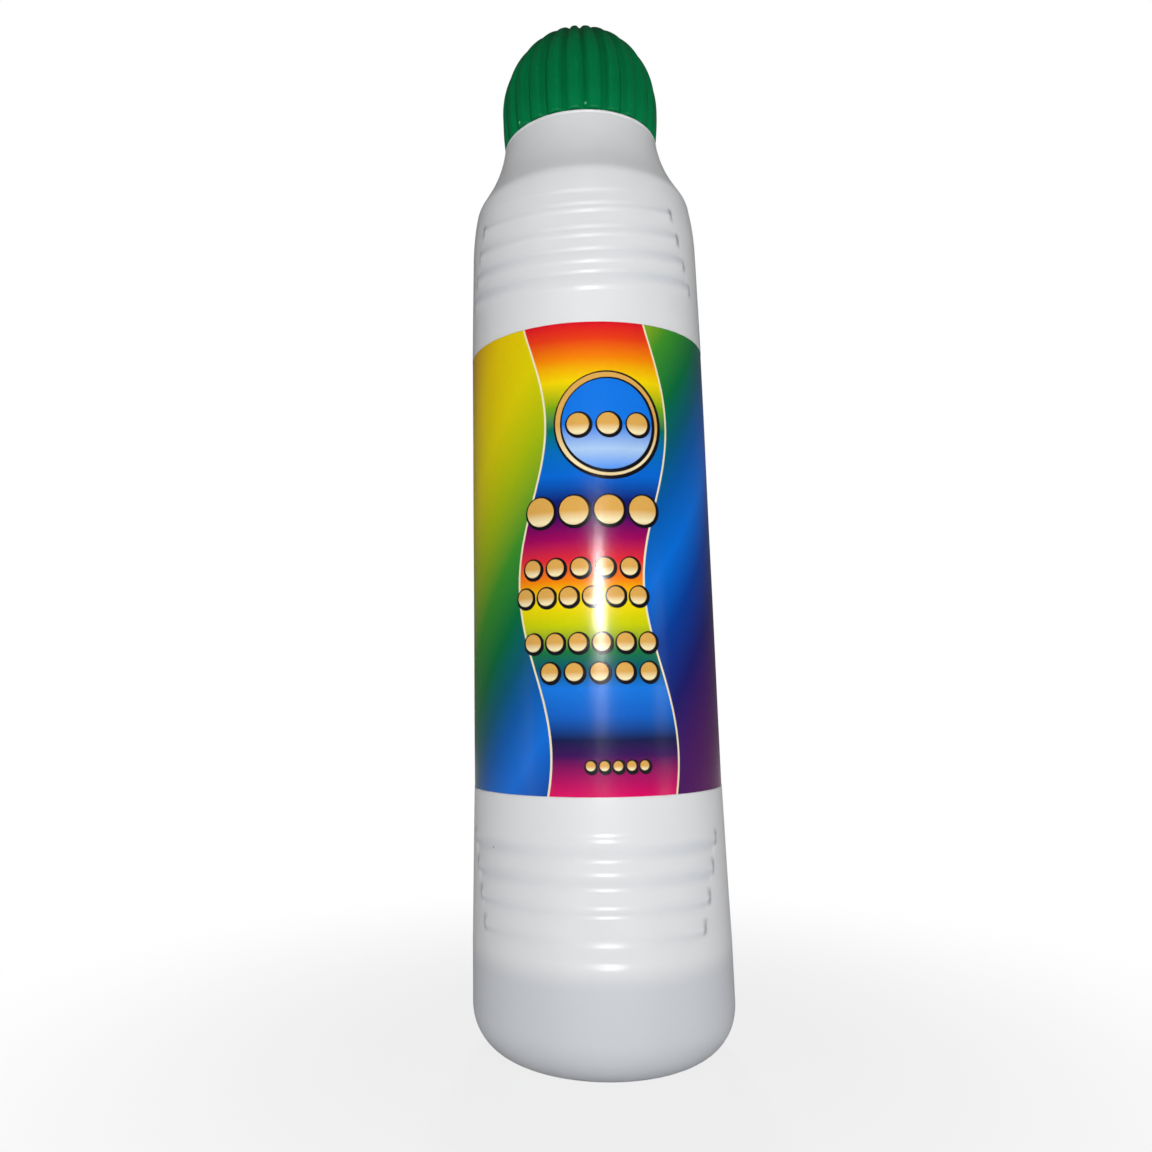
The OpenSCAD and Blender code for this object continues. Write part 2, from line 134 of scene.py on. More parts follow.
def eased(corners):
    """A closed section with its corners rounded: corners are (radius, height, round)."""
    steps, most = 4, 0.45
    line = []
    for i, (x, z, ease) in enumerate(corners):
        here = np.array((x, z))
        before = np.array(corners[i - 1][:2]) - here
        after = np.array(corners[(i + 1) % len(corners)][:2]) - here
        start = here + before * min(most, ease / np.linalg.norm(before))
        end = here + after * min(most, ease / np.linalg.norm(after))
        for t in np.linspace(0, 1, steps):
            line.append((1 - t) ** 2 * start + 2 * t * (1 - t) * here + t * t * end)
    return np.array(line)


def arc(x, z, radius, a0, a1, count):
    """Points on a round stretch between two angles."""
    a = np.radians(np.linspace(a0, a1, count))
    return np.stack([x + radius * np.cos(a), z + radius * np.sin(a)], 1)


def smooth_step(t):
    t = np.clip(t, 0, 1)
    return t * t * (3 - 2 * t)


def hump(t):
    """1 at 0, falling softly to 0 at 1."""
    return 0.5 + 0.5 * np.cos(np.pi * np.clip(t, 0, 1))


def make_piece(name, points, faces, sharp_angle):
    """A piece of the object: a smooth mesh, with edges over an angle kept sharp."""
    mesh = bpy.data.meshes.new(name)
    mesh.from_pydata(points, [], faces)
    mesh.validate()
    mesh.shade_smooth()
    mesh.set_sharp_from_angle(angle=math.radians(sharp_angle))
    piece = bpy.data.objects.new(name, mesh)
    bpy.context.scene.collection.objects.link(piece)
    return piece


def swept(section, angles):
    """Radius and height of a section at each angle, as rows by columns."""
    return [np.repeat(section[:, i:i + 1], len(angles), 1) for i in (0, 1)]


def ring_mesh(name, radius, height, angles, loop=False, wrap=True):
    """A mesh of rings from rows by columns. A row on the axis becomes one point."""
    rows, cols = radius.shape
    turn = np.radians(angles)
    places = np.stack([radius * np.cos(turn), radius * np.sin(turn), height], 2) * MM
    ids = np.zeros((rows, cols), int)
    points = []
    for i in range(rows):
        on_axis = radius[i].max() < 1e-6
        ids[i] = len(points) + (0 if on_axis else np.arange(cols))
        points.extend(places[i, :1] if on_axis else places[i])
    faces = []
    for i in range(rows if loop else rows - 1):
        a, b = ids[i], ids[(i + 1) % rows]
        for j in range(cols if wrap else cols - 1):
            k = (j + 1) % cols
            face = list(dict.fromkeys((a[j], a[k], b[k], b[j])))
            faces.append([int(v) for v in face])
    if not wrap:
        faces.append([int(v) for v in ids[:, 0]])
        faces.append([int(v) for v in ids[::-1, -1]])
    return make_piece(name, [tuple(p) for p in points], faces, SHARP_ANGLE)


def turned(name, section, columns):
    """A turned piece: one section swept round the axis."""
    angles = np.linspace(0, 360, columns, endpoint=False)
    return ring_mesh(name, *swept(section, angles), angles, loop=True)


def thread_ridge(height, angles, start_z):
    """Share of the thread's depth at each height and angle."""
    share = np.zeros(height.shape)
    for turn in range(int(THREAD_TURNS) + 1):
        along = (angles - THREAD_START) % 360 + 360 * turn
        middle = start_z + THREAD_PITCH * along / 360
        left = 360 * THREAD_TURNS - along
        rise = smooth_step(np.minimum(along, left) / THREAD_FADE)
        flank = (THREAD_FOOT / 2 - np.abs(height - middle)) / ((THREAD_FOOT - THREAD_CREST) / 2)
        share = np.maximum(share, smooth_step(flank) * rise)
    return share


# Bottle

def side_radius(z):
    """Radius of the bottle's side at heights from the heel to the collar."""
    z = np.asarray(z, float)
    lean, slope, upright = (math.radians(a) for a in (CREASE_LEAN, SHOULDER_SLOPE, COLLAR_LEAN))
    swell_z = LABEL_TOP + UPPER_GRIP_H
    crease_x = TOP_R - SWELL_R + (SWELL_R - SHOULDER_ROUND) * math.cos(lean)
    crease_z = swell_z + (SWELL_R - SHOULDER_ROUND) * math.sin(lean)
    slope_r = crease_x + SHOULDER_ROUND * math.cos(slope)
    slope_z = crease_z + SHOULDER_ROUND * math.sin(slope)
    sweep_x = COLLAR_R + SWEEP_R * math.cos(upright)
    sweep_z = COLLAR_Z + SWEEP_R * math.sin(upright)

    def round_part(radius, middle):
        return np.sqrt(np.maximum(radius * radius - (z - middle) ** 2, 0))

    return np.select(
        [z < BAND_H, z < LABEL_Z, z < LABEL_TOP, z < swell_z, z < crease_z + SHOULDER_ROUND * math.sin(lean),
         z < slope_z, z < sweep_z - SWEEP_R * math.sin(slope)],
        [BASE_R, BASE_R + (BODY_R - BASE_R) * (z - BAND_H) / (LABEL_Z - BAND_H), BODY_R,
         BODY_R + (TOP_R - BODY_R) * (z - LABEL_TOP) / UPPER_GRIP_H,
         TOP_R - SWELL_R + round_part(SWELL_R, swell_z), crease_x + round_part(SHOULDER_ROUND, crease_z),
         slope_r - (z - slope_z) * math.tan(slope)],
        sweep_x - round_part(SWEEP_R, sweep_z))


def ring_rows(edges):
    """Distances from the label of a grip panel's mesh rows, closer at the rings' edges."""
    first_row, row_step, least_gap = 3.5, 0.4, 0.08
    near = [place + width * EDGE_ROWS for place, width, _ in edges]
    rows = np.sort(np.concatenate([*near, np.arange(first_row, edges[-1][0], row_step)]))
    return rows[np.diff(rows, prepend=0) > least_gap]


def stairs(past_label, edges):
    """A stair that climbs at each edge, less the straight line from its start to its end."""
    start, end = edges[0][0] - edges[0][1] / 2, edges[-1][0] + edges[-1][1] / 2
    climbed = sum(width * slope * smooth_step((past_label - place) / width + 0.5)
                  for place, width, slope in edges)
    climb = sum(width * slope for _, width, slope in edges)
    return climbed - climb * np.clip((past_label - start) / (end - start), 0, 1)


def grip_rings(past_label, swing, edges, fall, flank_fall):
    """How far a panel's rings stand out, by distance from the label and angle from the panel's middle."""
    order = np.arange(GROOVES) * GROOVE_PITCH
    shorter = GROOVE_SHORTER * (past_label - GROOVE_SETBACK) / GROOVE_PITCH
    inside = np.radians(GROOVE_HALF_ANGLE - shorter - np.abs(swing)) * BODY_R

    def falls(depth, width):
        places = GROOVE_SETBACK - RING_FALL_BACK + order
        return stairs(past_label, [(place, width, depth / width) for place in places])

    from_middle = np.abs(swing - RING_MIDDLE_AT)
    middle = 1 - (1 - RING_SIDE_SHARE) * smooth_step(from_middle / RING_MIDDLE_ANGLE)
    flank = smooth_step((from_middle - FLANK_FROM) / FLANK_OVER)
    rings = middle * stairs(past_label, edges) - falls(fall, RING_FALL_W)
    rings = rings - flank * falls(flank_fall, FLANK_FALL_W)
    for place in GROOVE_SETBACK - RING_END_BACK + order:
        end = hump(np.abs(past_label - place) / RING_END_H)
        rings += RING_END_RISE * end * smooth_step(1 - inside / RING_END_L)
    return rings * smooth_step(inside / RING_END_DROP)


def bottle_angles():
    """Angles of the bottle's columns, closer at the grooves' ends and the parting lines."""
    step, end_step, first_end, past_ends = 4.0, 0.75, 48, 71
    beside_seam = np.array([-0.9, -0.55, -0.3, -0.15, 0.15, 0.3, 0.55, 0.9])
    even = np.arange(0, 360, step)
    ends = [face + way * np.arange(first_end, past_ends, end_step) for face in (-90, 90) for way in (-1, 1)]
    seams = [side + beside_seam for side in (0, 180)]
    return np.unique(np.round(np.concatenate([even, *ends, *seams]) % 360, 3))


def make_bottle():
    angles = bottle_angles()
    floor = np.concatenate([
        [[r, PUSH_UP] for r in (0, 2, 4, 6)],
        arc(FOOT_R - PUSH_UP - FLOOR_REACH, PUSH_UP - FLOOR_ROUND, FLOOR_ROUND, 90, 45, 5),
        arc(FOOT_R + FLOOR_REACH, FLOOR_ROUND, FLOOR_ROUND, 225, 270, 5)])
    heel = arc(BASE_R - HEEL_R, HEEL_R, HEEL_R, -90, 0, 16)
    bead_z = COLLAR_Z - COLLAR_BEAD_R
    lower_rings = LABEL_Z - ring_rows(LOWER_EDGES)[::-1]
    upper_rings = LABEL_TOP + ring_rows(UPPER_EDGES)
    gap, wide_gap, shoulder_step, neck_step = 0.3, 0.5, 0.35, 0.28
    below = np.concatenate([np.linspace(HEEL_R + 1, lower_rings[0] - gap, 10), lower_rings,
                            np.linspace(lower_rings[-1] + wide_gap, LABEL_Z - gap, 6)])
    above = np.concatenate([np.linspace(LABEL_TOP + gap, upper_rings[0] - wide_gap, 6), upper_rings,
                            np.arange(upper_rings[-1] + gap, bead_z - COLLAR_BEAD_R, shoulder_step)])

    def side(z):
        return np.stack([side_radius(z), z], 1)

    lip = [[BODY_R, LABEL_Z - 0.12], [BODY_R - 0.02, LABEL_Z - 0.06], [PANEL_R, LABEL_Z - 0.05]]
    recess = [[PANEL_R, z] for z in np.linspace(LABEL_Z + 1, LABEL_TOP - 1, 5)]
    lip_above = [[r, LABEL_Z + LABEL_TOP - z] for r, z in reversed(lip)]
    collar = arc(COLLAR_R + COLLAR_BEAD_OUT - COLLAR_BEAD_R, bead_z, COLLAR_BEAD_R, -60, 90, 10)
    ledge = [[NECK_R + NECK_FILLET, COLLAR_Z], [NECK_R + 0.1, COLLAR_Z + 0.1]]
    neck_z = np.arange(COLLAR_Z + NECK_FILLET, RIM_Z - gap, neck_step)
    neck = np.stack([np.full(len(neck_z), NECK_R), neck_z], 1)
    rim = np.concatenate([arc(NECK_R - RIM_ROUND, RIM_Z - RIM_ROUND, RIM_ROUND, 0, 90, 4),
                          arc(BORE_R + RIM_ROUND, RIM_Z - RIM_ROUND, RIM_ROUND, 90, 180, 4)])
    shoulder_low, straight_top, inner_wall, inner_foot_r = 112, 105, 1.12 * WALL, FOOT_R - 0.4
    inner_z = np.concatenate([np.linspace(COLLAR_Z - LEDGE_T, shoulder_low, 12),
                              np.linspace(straight_top, HEEL_R, 6)])
    bore = [[BORE_R, COLLAR_Z + 4], [BORE_R, COLLAR_Z - LEDGE_T]]
    inside = np.stack([side_radius(inner_z) - inner_wall, inner_z], 1)
    inner_heel = arc(BASE_R - HEEL_R, HEEL_R, HEEL_R - WALL, 0, -90, 8)
    inner_floor = [[inner_foot_r, WALL], [inner_foot_r - PUSH_UP, PUSH_UP + WALL], [0, PUSH_UP + WALL]]
    outside = [floor, heel, side(below), lip, recess, lip_above, side(above), collar]
    section = np.concatenate([*outside, ledge, neck, rim, bore, inside, inner_heel, inner_floor])
    shown = sum(len(part) for part in outside)
    neck_rows = slice(shown + len(ledge), shown + len(ledge) + len(neck))

    radius, height = swept(section, angles)
    moved = slice(len(floor), shown)
    lower = slice(len(floor) + len(heel), len(floor) + len(heel) + len(below))
    upper = slice(shown - len(collar) - len(above), shown - len(collar))
    swing = (angles % 180) - 90
    for rows, past_label, edges, fall, flank_fall in (
            (lower, LABEL_Z - height[lower], LOWER_EDGES, LOWER_FALL, LOWER_FLANK_FALL),
            (upper, height[upper] - LABEL_TOP, UPPER_EDGES, UPPER_FALL, UPPER_FLANK_FALL)):
        if rows is upper:
            past_last = past_label - edges[-1][0]
            held = smooth_step(past_label / edges[0][0]) * (1 - smooth_step(past_last / RING_SAG_FADE))
            sag = np.sin(np.radians(swing)) / math.sin(math.radians(GROOVE_HALF_ANGLE))
            height[rows] += RING_SAG * sag ** 2 * held
            radius[rows] = side_radius(height[rows])
        radius[rows] += grip_rings(past_label, swing, edges, fall, flank_fall)
    seam = np.minimum(np.abs((angles + 90) % 180 - 90), 90)
    seam_gap = np.radians(seam) * radius
    radius[moved] += PARTING_H * np.exp(-(seam_gap[moved] / PARTING_W) ** 2)
    turn = np.radians(angles)
    waver = np.sin(2 * turn + height / 9) * np.cos(height / 13 + 1) + 0.6 * np.sin(5 * turn - height / 6 + 2)
    radius[moved] += WAVER_H * waver[moved] * (np.abs(radius[moved] - PANEL_R) > 1e-3)
    radius[neck_rows] += THREAD_DEPTH * thread_ridge(height[neck_rows], angles, COLLAR_Z + THREAD_SETBACK)
    pinch = PINCH_H * np.exp(-(radius * np.sin(turn) / PINCH_W) ** 2) * smooth_step((FOOT_R - radius) / 2)
    height[:len(floor)] -= pinch[:len(floor)]
    return ring_mesh("squeeze_bottle", radius, height, angles)


# Label

def make_label():
    seam = math.degrees(LABEL_SEAM / BODY_R)
    first = 90 + LABEL_TURN + seam / 2
    angles = np.linspace(first, first + 360 - seam, 241)
    inner, edge = BODY_R - LABEL_T, 0.03
    rows = np.linspace(LABEL_Z + 0.15, LABEL_TOP - 0.15, 22)
    section = np.concatenate([
        [[inner, LABEL_Z], [BODY_R - edge, LABEL_Z], [BODY_R, LABEL_Z + edge]], [[BODY_R, z] for z in rows],
        [[BODY_R, LABEL_TOP - edge], [BODY_R - edge, LABEL_TOP], [inner, LABEL_TOP]]])
    radius, height = swept(section, angles)
    turn = np.radians(angles)
    ripple = np.sin(3 * turn + height / 7) * np.cos(height / 11) + 0.5 * np.sin(7 * turn - height / 5)
    radius[3:-3] += RIPPLE_H * ripple[3:-3]
    return ring_mesh("wrapped_label", radius, height, angles, loop=True, wrap=False)


# Cap

def cap_angles():
    """Angles of the cap's columns, closer at the bottoms of the flutes."""
    half = 180 / FLUTES
    near = np.array([0.07, 0.14, 0.21, 0.28, 0.35, 0.43, 0.52, 0.66, 0.82])
    offsets = np.concatenate([[0], near, -near, [1]]) * half
    middles = FLUTE_TURN + np.arange(FLUTES) * 2 * half
    return np.unique(np.round((middles[:, None] + offsets[None]).ravel() % 360, 4))


def make_cap():
    angles = cap_angles()
    belly_z = CAP_EDGE_Z + CAP_BELLY_H
    edge_angle = math.degrees(math.acos(COLLAR_R / CAP_BELLY_R))
    skirt = CAP_BELLY_H / math.sin(math.radians(edge_angle))
    crown_angle = math.degrees(math.acos(CROWN_R / CAP_BELLY_R))

    def outline(a):
        a = np.radians(a)
        rise = np.where(a < 0, skirt, CAP_TOP - belly_z)
        return np.stack([CAP_BELLY_R * np.cos(a), belly_z + rise * np.sin(a)], 1)

    low = np.linspace(-edge_angle + 1.3, 0, 9)
    dome = np.concatenate([
        np.linspace(3, crown_angle - 14, 20), np.linspace(crown_angle - 13, crown_angle, 8),
        np.linspace(crown_angle + 2, 88, 7)])
    edge_r = outline(low[:1])[0, 0]
    edge_round = arc(edge_r - CAP_EDGE_ROUND, CAP_EDGE_Z + CAP_EDGE_ROUND, CAP_EDGE_ROUND, -90, -6, 8)
    lower_edge = np.concatenate([[[CAP_BORE_R + 0.15, CAP_EDGE_Z], [edge_r - 0.85, CAP_EDGE_Z]], edge_round])
    gate = [[0.9, CAP_TOP], [0.7, CAP_TOP - 0.12], [0.35, CAP_TOP - 0.15], [0, CAP_TOP - 0.15]]
    outer = np.concatenate([lower_edge, outline(low), outline(dome), gate])
    roof_z = CAP_TOP - CROWN_WALL
    ledge_z = SEAL_TOP + SNAP_GAP
    roof_a = np.radians(np.linspace(90, 0, 14))
    roof = np.stack([LEDGE_R * np.cos(roof_a), ledge_z + (roof_z - ledge_z) * np.sin(roof_a)], 1)
    roof[0, 0] = 0
    pocket_round = 0.15
    pocket = [[LEDGE_R + 0.1, ledge_z], [POCKET_R - pocket_round, ledge_z],
              [POCKET_R, ledge_z - pocket_round], [POCKET_R, DECK_Z + 0.1]]
    bore_z = np.arange(RIM_Z - CAP_GAP, CAP_EDGE_Z + 0.2, -0.2)
    bore = np.stack([np.full(len(bore_z), CAP_BORE_R), bore_z], 1)
    section = np.concatenate([outer, roof, pocket, bore])
    section = np.roll(section, -len(outer), axis=0)

    radius, height = swept(section, angles)
    inner_rows = len(section) - len(outer)
    bore_rows = slice(inner_rows - len(bore), inner_rows)
    radius[bore_rows] -= THREAD_DEPTH * thread_ridge(
        height[bore_rows], angles, COLLAR_Z + THREAD_SETBACK + THREAD_PITCH / 2)
    fluted = slice(inner_rows + 2, len(section) - len(gate))
    half = 180 / FLUTES
    off = np.abs((angles - FLUTE_TURN + half) % (2 * half) - half)
    r = radius[fluted]
    apart = np.radians(off) * r
    most_share, crown_fade = 0.75, 12
    channel = hump(apart / np.minimum(FLUTE_HALF_W, most_share * np.radians(half) * r))
    fade = smooth_step((crown_angle - np.degrees(np.arccos(np.clip(r / CAP_BELLY_R, -1, 1)))) / crown_fade)
    fade = np.where(height[fluted] < belly_z, 1, fade)
    round_off = (1 - off / half) ** 2
    radius[fluted] -= (FLUTE_DEPTH * channel + RIB_ROUND * round_off) * fade
    return ring_mesh("fluted_cap", radius, height, angles)


# Tip

def dome_line(inset, count):
    """Dome of the tip from its side to the top, moved in by inset."""
    rise = TIP_TOP - DECK_Z - TIP_SIDE_H
    radius = (TIP_R * TIP_R + rise * rise) / (2 * rise)
    low = math.degrees(math.acos((TIP_R - inset) / (radius - inset)))
    return arc(0, TIP_TOP - radius, radius - inset, low, 90, count)


def make_cover():
    brim = FLANGE_R - SOFT_GAP
    outer, inner = dome_line(0, 22), dome_line(COVER_T, 22)
    outer[-1, 0] = inner[-1, 0] = 0
    side_z = np.linspace(DECK_Z + COVER_T + 0.25, outer[0, 1] - 0.1, 5)
    section = np.concatenate([
        outer[::-1], [[TIP_R, z] for z in side_z[::-1]],
        [[TIP_R + 0.08, DECK_Z + COVER_T + 0.08], [TIP_R + 0.3, DECK_Z + COVER_T]],
        [[brim - 0.05, DECK_Z + COVER_T], [brim, DECK_Z + COVER_T - 0.1]],
        [[brim, DECK_Z + 0.05], [brim - 0.1, DECK_Z]],
        [[TIP_R - COVER_T + 0.2, DECK_Z], [TIP_R - COVER_T, DECK_Z + 0.2]],
        [[TIP_R - COVER_T, z] for z in side_z], inner])[::-1]
    angles = np.linspace(0, 360, 168, endpoint=False)
    radius, height = swept(section, angles)
    turn = np.radians(angles)
    near_side = np.abs(radius - TIP_R + COVER_T / 2) < 0.7
    low = smooth_step((TIP_TOP - PLEAT_FROM_TOP - height) / PLEAT_OVER) * near_side
    pleats = 0.5 + 0.5 * np.sin(PLEATS * turn + 0.8 * np.sin(5 * turn))
    radius -= PLEAT_H * low * pleats
    soft = COVER_SOFT_H * np.sin(3 * turn + 1) * smooth_step(radius / 4)
    height += np.where(height > DECK_Z + TIP_SIDE_H, soft, 0)
    return ring_mesh("knit_cover", radius, height, angles)


def make_sponge():
    inset = COVER_T + SOFT_GAP / 2
    pocket_r, pocket_z = HEAD_R + SOFT_GAP, DECK_Z + PRESS_TRAVEL + HEAD_T + 3 * SOFT_GAP
    base = DECK_Z + SOFT_GAP
    outer = dome_line(inset, 18)
    outer[-1, 0] = 0
    side = [[TIP_R - inset, z] for z in np.linspace(base + 0.3, outer[0, 1] - 0.2, 4)]
    section = np.concatenate([
        [[0, pocket_z], [pocket_r - 0.3, pocket_z], [pocket_r, pocket_z - 0.3]],
        [[pocket_r, base + 0.6], [pocket_r + 0.3, base], [4.5, base], [TIP_R - inset - 0.3, base]],
        side, outer])
    angles = np.linspace(0, 360, 96, endpoint=False)
    radius, height = swept(section, angles)
    turn = np.radians(angles)
    pores = np.sin(17 * turn + 9 * height) * np.sin(23 * turn - 7 * height)
    radius -= np.where(radius > pocket_r + 0.4, PORE_H * (0.5 + 0.5 * pores), 0)
    return ring_mesh("ink_sponge", radius, height, angles)


def make_spring():
    sides, rings = 12, 36 * COIL_TURNS
    s = np.linspace(0, 1, rings + 1)
    turn = 2 * np.pi * COIL_TURNS * s
    low, high = COIL_LOW + WIRE_D / 2, COIL_HIGH - WIRE_D / 2
    points, faces = [], []
    for t, share in zip(turn, s):
        for k in range(sides):
            a = 2 * np.pi * k / sides
            r = COIL_R + WIRE_D / 2 * math.cos(a)
            z = low + (high - low) * share + WIRE_D / 2 * math.sin(a)
            points.append((r * math.cos(t) * MM, r * math.sin(t) * MM, z * MM))
    for i in range(rings):
        for k in range(sides):
            a, b = i * sides + k, i * sides + (k + 1) % sides
            faces.append((a, a + sides, b + sides, b))
    faces.append(tuple(range(sides)))
    faces.append(tuple(rings * sides + k for k in reversed(range(sides))))
    return make_piece("coil_spring", points, faces, WIRE_SHARP_ANGLE)


bottle = make_bottle()
label = make_label()
cap = make_cap()
seal_ring = turned("seal_ring", eased([
    (SEAL_R - SEAL_W, SEAL_Z, SEAL_ROUND), (SEAL_R, SEAL_Z, SEAL_ROUND),
    (SEAL_R, SEAL_TOP, SEAL_ROUND), (SEAL_R - SEAL_W, SEAL_TOP, SEAL_ROUND)]), 120)
clamp_ring = turned("snap_clamp_ring", eased([
    (FLANGE_R + SNAP_GAP, RIM_Z, 0.1), (CLAMP_R, RIM_Z, 0.15), (CLAMP_R, CLAMP_TOP - CLAMP_BEVEL, 0.25),
    (CLAMP_R - CLAMP_BEVEL, CLAMP_TOP, 0.25), (CLAMP_LIP_R, CLAMP_TOP, 0.3),
    (CLAMP_LIP_R, CLAMP_TOP - CLAMP_LIP_T, 0.1), (FLANGE_R + SNAP_GAP, CLAMP_TOP - CLAMP_LIP_T, 0.05)]), 144)
cover = make_cover()
sponge = make_sponge()
spring = make_spring()


# Node helpers

def linear(r, g, b):
    """A colour as a screen shows it, from 0 to 255, as a linear colour."""
    parts = [c / 255 for c in (r, g, b)]
    return tuple(c / 12.92 if c <= 0.04045 else ((c + 0.055) / 1.055) ** 2.4 for c in parts) + (1.0,)


class Nodes:
    """A node tree that is filled by calls. Each call adds a node and gives one of its outputs."""

    def __init__(self, tree):
        self.tree = tree

    def feed(self, socket, value):
        if isinstance(value, bpy.types.NodeSocket):
            self.tree.links.new(value, socket)
        else:
            socket.default_value = value

    def add(self, kind, inputs=None, out=0, **settings):
        node = self.tree.nodes.new("ShaderNode" + kind)
        for key, value in settings.items():
            setattr(node, key, value)
        for key, value in (inputs or {}).items():
            self.feed(node.inputs[key], value)
        return node.outputs[out]

    def sum(self, operation, a, b=0.0, clamp=False):
        return self.add("Math", {0: a, 1: b}, operation=operation, use_clamp=clamp)

    def spread(self, value, low, high, to_low=0.0, to_high=1.0):
        """value from low to high becomes to_low to to_high, and stays within them."""
        return self.add("MapRange", {"Value": value, "From Min": low, "From Max": high,
                                     "To Min": to_low, "To Max": to_high}, interpolation_type="SMOOTHSTEP")

    def fade(self, value, low, high):
        """1 up to low, falling to 0 at high."""
        return self.spread(value, low, high, 1.0, 0.0)

    def mix(self, factor, a, b):
        return self.add("Mix", {0: factor, 6: a, 7: b}, out=2, data_type="RGBA")

    def ramp(self, factor, stops):
        """Colours along a line: stops are (place, colour as a screen shows it)."""
        out = self.add("ValToRGB", {"Fac": factor})
        line = out.node.color_ramp.elements
        while len(line) < len(stops):
            line.new(1.0)
        for element, (place, colour) in zip(line, stops):
            element.position, element.color = place, linear(*colour)
        return out

    def noise(self, place, scale, detail=2.0, rough=0.5):
        return self.add("TexNoise", {"Vector": place, "Scale": scale, "Detail": detail, "Roughness": rough})

    def group(self, tree, *values):
        """A shared effect's outputs. The values go to its inputs in order."""
        node = self.tree.nodes.new("ShaderNodeGroup")
        node.node_tree = tree
        for socket, value in zip(node.inputs, values):
            self.feed(socket, value)
        return list(node.outputs)


SOCKETS = {"Place": "NodeSocketVector", "Colour": "NodeSocketColor"}


def effect(name, inputs, outputs, fill):
    """A shared effect as a node group. fill takes the nodes and inputs, and gives the outputs in order."""
    tree = bpy.data.node_groups.new(name, "ShaderNodeTree")
    for way, keys in (("INPUT", inputs), ("OUTPUT", outputs)):
        for key in keys:
            kind = SOCKETS.get(key, "NodeSocketFloat")
            tree.interface.new_socket(name=key, in_out=way, socket_type=kind)
    nodes = Nodes(tree)
    given = tree.nodes.new("NodeGroupInput")
    result = tree.nodes.new("NodeGroupOutput")
    for key, socket in zip(outputs, fill(nodes, given.outputs)):
        tree.links.new(socket, result.inputs[key])
    return tree


def fill_grain(n, given):
    fine = n.noise(given["Place"], given["Scale"], 3.0)
    broad_share = 0.07
    broad = n.noise(given["Place"], n.sum("MULTIPLY", given["Scale"], broad_share), 2.0)
    return [n.sum("ADD", n.sum("MULTIPLY", fine, given["Fine"]), n.sum("MULTIPLY", broad, given["Broad"]))]


def fill_mottle(n, given):
    cloud = n.noise(given["Place"], given["Scale"], 4.0, 0.6)
    shift = n.sum("MULTIPLY", n.sum("SUBTRACT", cloud, 0.5), given["Amount"])
    lighter = n.add("HueSaturation", {"Value": n.sum("ADD", shift, 1.0), "Color": given["Colour"]})
    rough_share = 1.5
    rough = n.sum("ADD", given["Roughness"], n.sum("MULTIPLY", shift, rough_share), clamp=True)
    return [lighter, rough]


def fill_specks(n, given):
    cells = n.tree.nodes.new("ShaderNodeTexVoronoi")
    n.feed(cells.inputs["Vector"], given["Place"])
    n.feed(cells.inputs["Scale"], given["Scale"])
    pick = n.add("SeparateColor", {"Color": cells.outputs["Color"]})
    chosen = n.sum("LESS_THAN", pick, given["Share"])
    core_share = 0.6
    dot = n.fade(cells.outputs["Distance"], n.sum("MULTIPLY", given["Size"], core_share), given["Size"])
    return [n.sum("MULTIPLY", chosen, dot)]


def fill_wear(n, given):
    geometry = n.tree.nodes.new("ShaderNodeNewGeometry")
    flat, broken_from, broken_to = 0.5, 0.42, 0.62
    edge = n.spread(geometry.outputs["Pointiness"], flat, given["Reach"])
    broken = n.spread(n.noise(given["Place"], given["Scale"], 4.0, 0.65), broken_from, broken_to)
    return [n.sum("MULTIPLY", edge, broken)]


# How soft the edges of the label's print are, in millimetres
PRINT_SOFT = 0.06


def fill_dab_row(n, given):
    """A row of round dabs: fill, outline, and height within a dab, from -1 at its foot to 1 at its top."""
    last = n.sum("SUBTRACT", given["Count"], 1.0)
    place = n.sum("ADD", n.sum("DIVIDE", given["Across"], given["Pitch"]), n.sum("MULTIPLY", last, 0.5))
    nearest = n.sum("MAXIMUM", n.sum("MINIMUM", n.sum("ROUND", place), last), 0.0)
    aside = n.sum("MULTIPLY", n.sum("SUBTRACT", place, nearest), given["Pitch"])
    over = n.sum("SUBTRACT", given["Up"], given["Middle"])

    def apart(x, y):
        return n.sum("SQRT", n.sum("ADD", n.sum("MULTIPLY", x, x), n.sum("MULTIPLY", y, y)))

    def disc(distance, radius):
        return n.fade(n.sum("SUBTRACT", distance, radius), -PRINT_SOFT, PRINT_SOFT)

    shade_right, shade_down, outline_w = 0.12, 0.14, 0.36
    shade_x, shade_y = n.sum("SUBTRACT", aside, shade_right), n.sum("ADD", over, shade_down)
    outline = disc(apart(shade_x, shade_y), n.sum("ADD", given["Radius"], outline_w))
    return [disc(apart(aside, over), given["Radius"]), outline, n.sum("DIVIDE", over, given["Radius"])]


grain = effect("moulded_grain", ("Place", "Scale", "Fine", "Broad"), ("Height",), fill_grain)
mottle = effect("colour_mottle", ("Place", "Colour", "Scale", "Amount", "Roughness"),
                ("Colour", "Roughness"), fill_mottle)
specks = effect("stray_specks", ("Place", "Scale", "Share", "Size"), ("Mask",), fill_specks)
edge_wear = effect("edge_wear", ("Place", "Scale", "Reach"), ("Mask",), fill_wear)
dab_row = effect("dab_row", ("Across", "Up", "Middle", "Pitch", "Count", "Radius"),
                 ("Fill", "Outline", "High"), fill_dab_row)


def finish_of(name, constants):
    """A material with its Principled shader, and the place on the piece that its patterns follow."""
    material = bpy.data.materials.new(name)
    material.use_nodes = True
    shader = material.node_tree.nodes["Principled BSDF"]
    for key, value in constants.items():
        shader.inputs[key].default_value = value
    nodes = Nodes(material.node_tree)
    place = nodes.add("TexCoord", out=3)
    return material, nodes, shader, place


